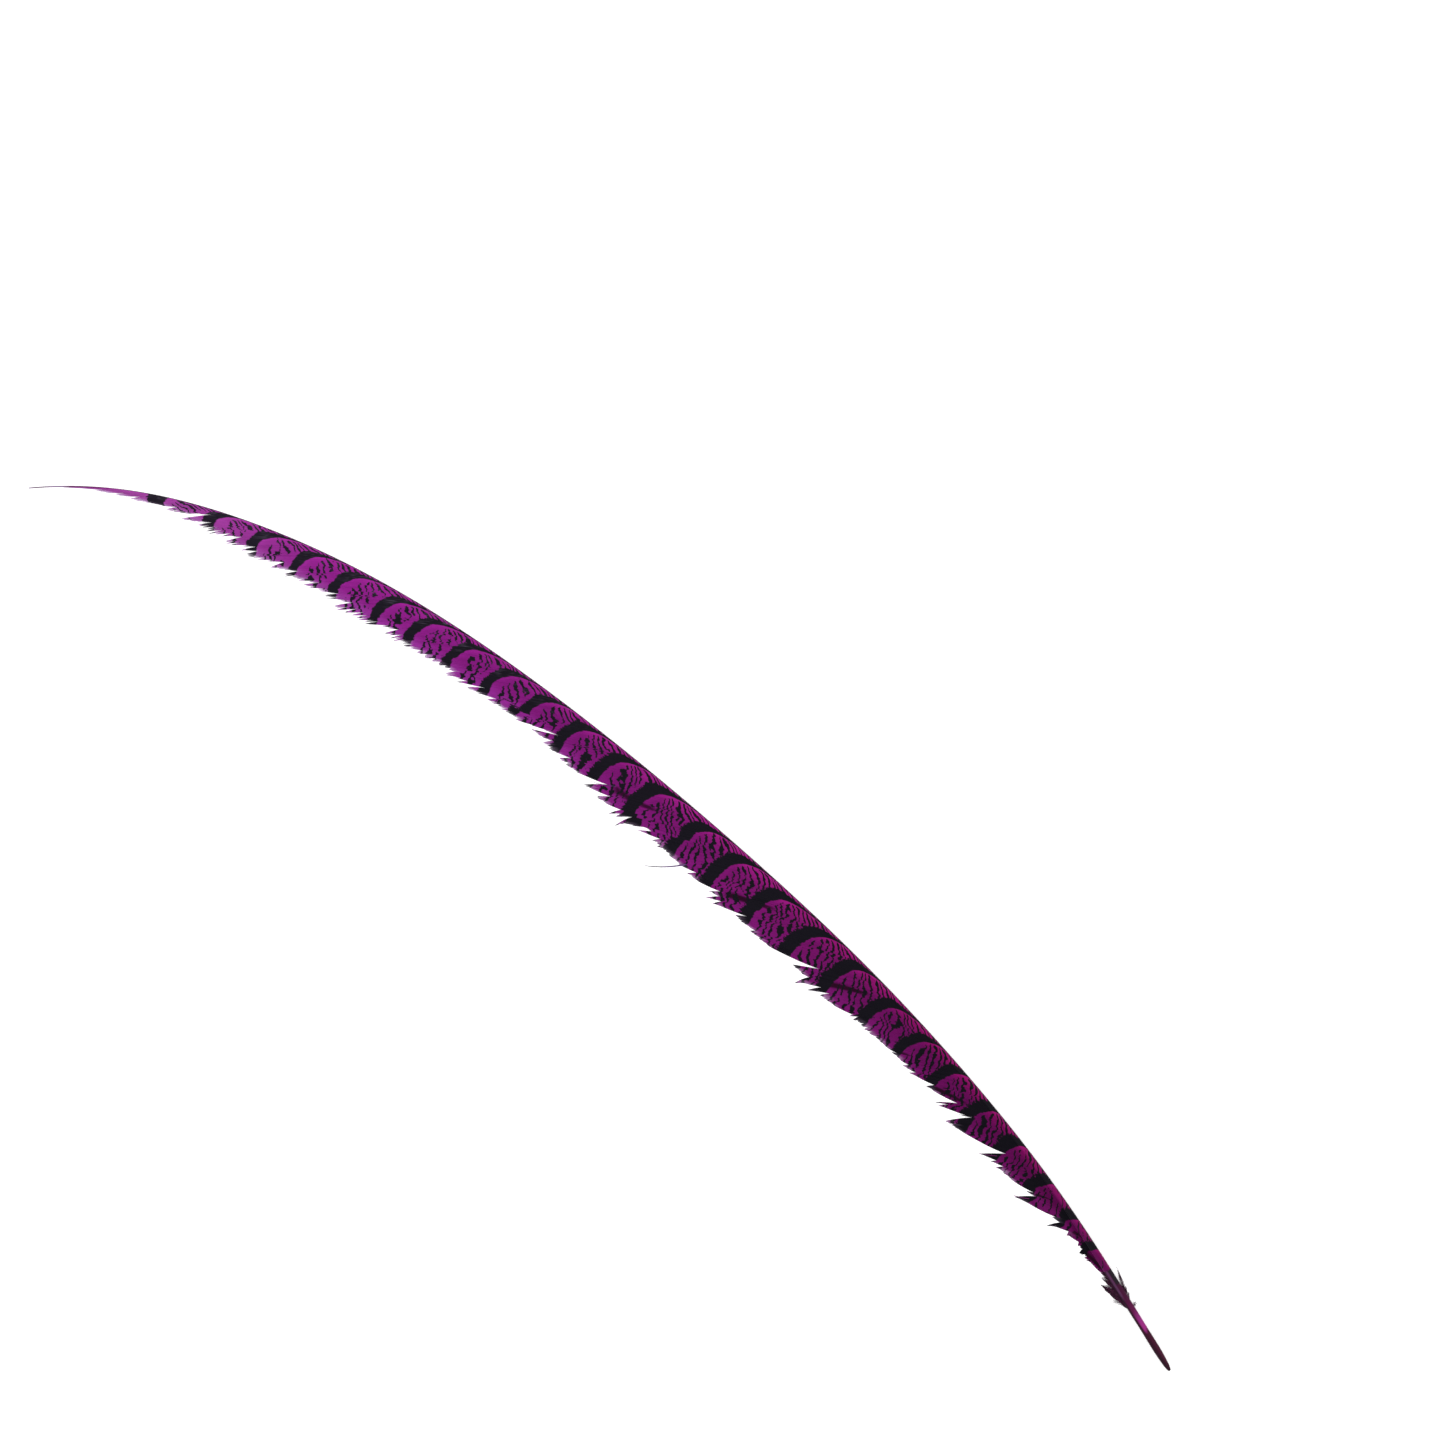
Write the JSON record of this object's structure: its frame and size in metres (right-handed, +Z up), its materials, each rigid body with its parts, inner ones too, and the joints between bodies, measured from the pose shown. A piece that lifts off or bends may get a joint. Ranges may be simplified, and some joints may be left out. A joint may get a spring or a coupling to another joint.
{
  "type": "pheasant tail feather",
  "caption": "Long barred pheasant tail feather, dyed magenta: a bowed shaft with a one-sided web of barbs parted into locks, for trimming and display.",
  "frame": {"origin": "centre of the bounding box in plan, on the surface the feather lies on", "axes": "+Z up out of the face; +X from the quill's end towards the tip, along the chord between them; +Y towards the hollow side of the bow, where the web grows"},
  "size_m": [0.606, 0.0668, 0.003],
  "materials": {
    "plumage": "dyed keratin: satin shaft, silky barbs with a faint sheen, black bars on magenta"
  },
  "bodies": {
    "root": {"feather": "plumage"}
  },
  "joints": []
}
